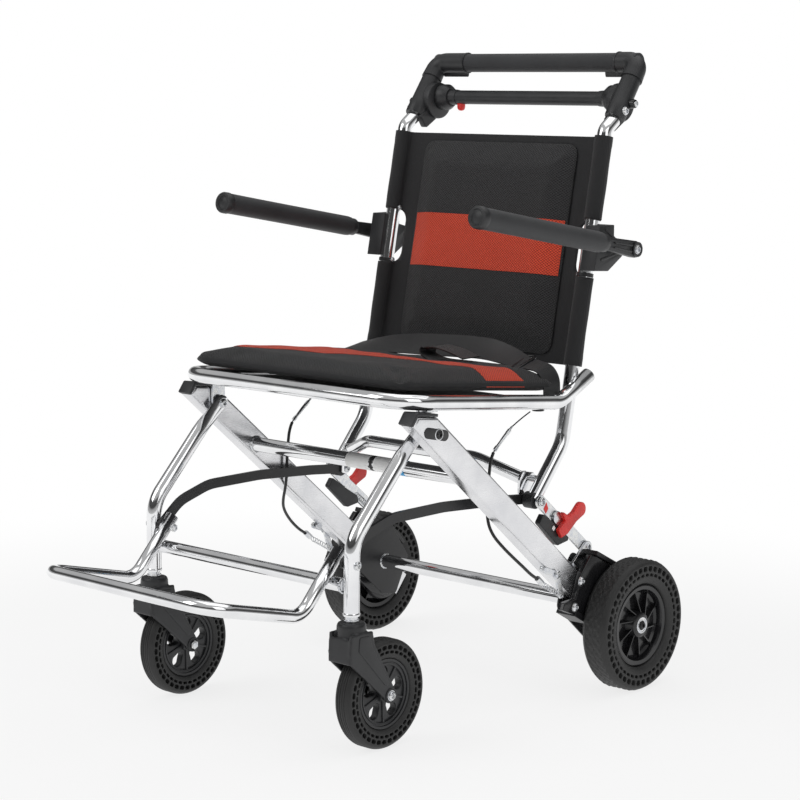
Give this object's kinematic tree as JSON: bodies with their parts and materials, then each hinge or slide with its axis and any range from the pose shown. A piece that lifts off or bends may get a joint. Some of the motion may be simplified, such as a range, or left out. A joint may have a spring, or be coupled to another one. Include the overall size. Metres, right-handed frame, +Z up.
{
  "type": "transport wheelchair",
  "caption": "Folding transport wheelchair: polished tube frame on flat side beams, mesh seat and back, swing-up armrests, flip-up footrest, swivel casters and small solid rear wheels",
  "frame": {"origin": "on the floor at the centre of the chair's footprint", "axes": "+Z up from the floor, +X to the occupant's left, +Y backwards: the occupant faces -Y"},
  "size_m": [0.591, 0.8802, 0.9548],
  "materials": {
    "polished_tube": "polished tube",
    "brushed_beam": "brushed",
    "zinc_steel": "bright zinc",
    "black_plastic": "satin, moulded",
    "tyre_rubber": "matt",
    "grip_foam": "matt foam",
    "black_fabric": "woven",
    "mesh_fabric": "spacer mesh",
    "red_plastic": "satin gloss",
    "black_steel": "powder coat",
    "cable_sheath": "smooth"
  },
  "bodies": {
    "frame": {"side_beam_left": "brushed_beam", "side_beam_right": "brushed_beam", "beam_cap_left": "black_plastic", "beam_cap_right": "black_plastic", "front_pivot_bolt_left": "zinc_steel", "front_pivot_bolt_right": "zinc_steel", "upper_cross_tube": "polished_tube", "rear_cross_tube": "polished_tube", "brake_unit_left": "black_plastic", "brake_unit_right": "black_plastic", "rear_axle_left": "zinc_steel", "rear_axle_right": "zinc_steel", "brake_cable_left": "cable_sheath", "brake_cable_right": "cable_sheath"},
    "seat": {"seat_frame": "polished_tube", "seat_sling": "black_fabric", "seat_cushion": "mesh_fabric", "seat_belt": "black_fabric"},
    "back": {"back_post_left": "polished_tube", "back_post_right": "polished_tube", "back_cross_tube": "polished_tube", "back_sling": "black_fabric", "back_pad": "mesh_fabric", "push_handle": "grip_foam", "handle_bracket_left": "black_plastic", "handle_bracket_right": "black_plastic", "armrest_bracket_left": "black_plastic", "armrest_bracket_right": "black_plastic"},
    "front_legs": {"front_leg_left": "polished_tube", "front_leg_right": "polished_tube", "leg_cross_tube": "polished_tube"},
    "footrest": {"footrest": "polished_tube"},
    "brake_bar": {"brake_bar": "black_plastic"},
    "parking_button": {"parking_button": "red_plastic"},
    "stay_bar_left": {"stay_bar_left": "black_steel"},
    "caster_swivel_left": {"caster_fork_left": "black_plastic", "caster_axle_left": "zinc_steel"},
    "caster_wheel_left": {"caster_tyre_left": "tyre_rubber", "caster_hub_left": "black_plastic"},
    "rear_wheel_left": {"rear_tyre_left": "tyre_rubber", "rear_hub_left": "black_plastic"},
    "brake_arm_left": {"brake_arm_left": "zinc_steel"},
    "armrest_left": {"armrest_arm_left": "black_plastic", "armrest_foam_left": "grip_foam"},
    "upper_link_left": {"upper_link_left": "zinc_steel"},
    "lower_link_left": {"lower_link_left": "zinc_steel"},
    "lock_lever_left": {"lock_lever_left": "red_plastic"},
    "stay_bar_right": {"stay_bar_right": "black_steel"},
    "caster_swivel_right": {"caster_fork_right": "black_plastic", "caster_axle_right": "zinc_steel"},
    "caster_wheel_right": {"caster_tyre_right": "tyre_rubber", "caster_hub_right": "black_plastic"},
    "rear_wheel_right": {"rear_tyre_right": "tyre_rubber", "rear_hub_right": "black_plastic"},
    "brake_arm_right": {"brake_arm_right": "zinc_steel"},
    "armrest_right": {"armrest_arm_right": "black_plastic", "armrest_foam_right": "grip_foam"},
    "upper_link_right": {"upper_link_right": "zinc_steel"},
    "lower_link_right": {"lower_link_right": "zinc_steel"},
    "lock_lever_right": {"lock_lever_right": "red_plastic"}
  },
  "joints": [
    {"name": "seat_fold", "type": "hinge", "parent": "frame", "child": "seat", "pos_m": [0, -0.0649, 0.431], "axis": [1, 0, 0], "range_deg": [-28.6, 0]},
    {"name": "back_fold", "type": "hinge", "parent": "seat", "child": "back", "pos_m": [0, 0.2676, 0.471], "axis": [1, 0, 0], "range_deg": [0, 82], "deforming": ["seat_cushion", "seat_belt", "brake_cable_left", "brake_cable_right"]},
    {"name": "leg_fold", "type": "hinge", "parent": "frame", "child": "front_legs", "pos_m": [0, -0.0649, 0.431], "axis": [1, 0, 0], "range_deg": [0, 45.8]},
    {"name": "footrest_flip", "type": "hinge", "parent": "front_legs", "child": "footrest", "pos_m": [0, -0.1989, 0.265], "axis": [1, 0, 0], "range_deg": [-70, 0]},
    {"name": "brake_squeeze", "type": "hinge", "parent": "back", "child": "brake_bar", "pos_m": [0, 0.3981, 0.879], "axis": [1, 0, 0], "range_deg": [0, 24], "stiffness_Nm_per_rad": 2, "springref_deg": -8.59},
    {"name": "parking_press", "type": "slide", "parent": "brake_bar", "child": "parking_button", "axis": [0, 0, 1], "range_m": [0, 0.0035], "stiffness_N_per_m": 400, "springref_m": -0.001},
    {"name": "stay_swing_left", "type": "hinge", "parent": "front_legs", "child": "stay_bar_left", "pos_m": [0.1868, -0.1989, 0.265], "axis": [1, 0, 0], "range_deg": [-62.78, 0]},
    {"name": "caster_steer_left", "type": "hinge", "parent": "front_legs", "child": "caster_swivel_left", "pos_m": [0.2015, -0.1999, 0.187], "axis": [0, 0, 1], "continuous": true},
    {"name": "caster_roll_left", "type": "hinge", "parent": "caster_swivel_left", "child": "caster_wheel_left", "pos_m": [0.2015, -0.1439, 0.077], "axis": [1, 0, 0], "continuous": true},
    {"name": "rear_roll_left", "type": "hinge", "parent": "frame", "child": "rear_wheel_left", "pos_m": [0.271, 0.3401, 0.1], "axis": [1, 0, 0], "continuous": true},
    {"name": "brake_pull_left", "type": "hinge", "parent": "frame", "child": "brake_arm_left", "pos_m": [0.238, 0.1946, 0.1945], "axis": [1, 0, 0], "range_deg": [-12.2, 0.2]},
    {"name": "armrest_lift_left", "type": "hinge", "parent": "back", "child": "armrest_left", "pos_m": [0.254, 0.3451, 0.6645], "axis": [1, 0, 0], "range_deg": [-90, 0]},
    {"name": "upper_link_swing_left", "type": "hinge", "parent": "back", "child": "upper_link_left", "pos_m": [0.2151, 0.1831, 0.3015], "axis": [1, 0, 0], "range_deg": [-20, 10]},
    {"name": "lower_link_swing_left", "type": "hinge", "parent": "frame", "child": "lower_link_left", "pos_m": [0.2197, 0.2836, 0.219], "axis": [1, 0, 0], "range_deg": [-12, 0], "stiffness_Nm_per_rad": 2, "springref_deg": 14.32},
    {"name": "lock_release_left", "type": "hinge", "parent": "lower_link_left", "child": "lock_lever_left", "pos_m": [0.2253, 0.2231, 0.256], "axis": [1, 0, 0], "range_deg": [-18, 0], "stiffness_Nm_per_rad": 0.3, "springref_deg": 11.46},
    {"name": "stay_swing_right", "type": "hinge", "parent": "front_legs", "child": "stay_bar_right", "pos_m": [-0.1868, -0.1989, 0.265], "axis": [1, 0, 0], "range_deg": [-62.78, 0]},
    {"name": "caster_steer_right", "type": "hinge", "parent": "front_legs", "child": "caster_swivel_right", "pos_m": [-0.2015, -0.1999, 0.187], "axis": [0, 0, 1], "continuous": true},
    {"name": "caster_roll_right", "type": "hinge", "parent": "caster_swivel_right", "child": "caster_wheel_right", "pos_m": [-0.2015, -0.1439, 0.077], "axis": [1, 0, 0], "continuous": true},
    {"name": "rear_roll_right", "type": "hinge", "parent": "frame", "child": "rear_wheel_right", "pos_m": [-0.271, 0.3401, 0.1], "axis": [1, 0, 0], "continuous": true},
    {"name": "brake_pull_right", "type": "hinge", "parent": "frame", "child": "brake_arm_right", "pos_m": [-0.238, 0.1946, 0.1945], "axis": [1, 0, 0], "range_deg": [-12.2, 0.2]},
    {"name": "armrest_lift_right", "type": "hinge", "parent": "back", "child": "armrest_right", "pos_m": [-0.254, 0.3451, 0.6645], "axis": [1, 0, 0], "range_deg": [-90, 0]},
    {"name": "upper_link_swing_right", "type": "hinge", "parent": "back", "child": "upper_link_right", "pos_m": [-0.2151, 0.1831, 0.3015], "axis": [1, 0, 0], "range_deg": [-20, 10]},
    {"name": "lower_link_swing_right", "type": "hinge", "parent": "frame", "child": "lower_link_right", "pos_m": [-0.2197, 0.2836, 0.219], "axis": [1, 0, 0], "range_deg": [-12, 0], "stiffness_Nm_per_rad": 2, "springref_deg": 14.32},
    {"name": "lock_release_right", "type": "hinge", "parent": "lower_link_right", "child": "lock_lever_right", "pos_m": [-0.2253, 0.2231, 0.256], "axis": [1, 0, 0], "range_deg": [-18, 0], "stiffness_Nm_per_rad": 0.3, "springref_deg": 11.46}
  ],
  "couplings": [
    {"joint": "seat_fold", "follows": "back_fold", "ratio": -0.34146},
    {"joint": "leg_fold", "follows": "back_fold", "ratio": 0.55122},
    {"joint": "stay_swing_left", "follows": "back_fold", "ratio": -0.75829},
    {"joint": "brake_pull_left", "follows": "brake_squeeze", "ratio": -0.5},
    {"joint": "stay_swing_right", "follows": "back_fold", "ratio": -0.75829},
    {"joint": "brake_pull_right", "follows": "brake_squeeze", "ratio": -0.5}
  ]
}
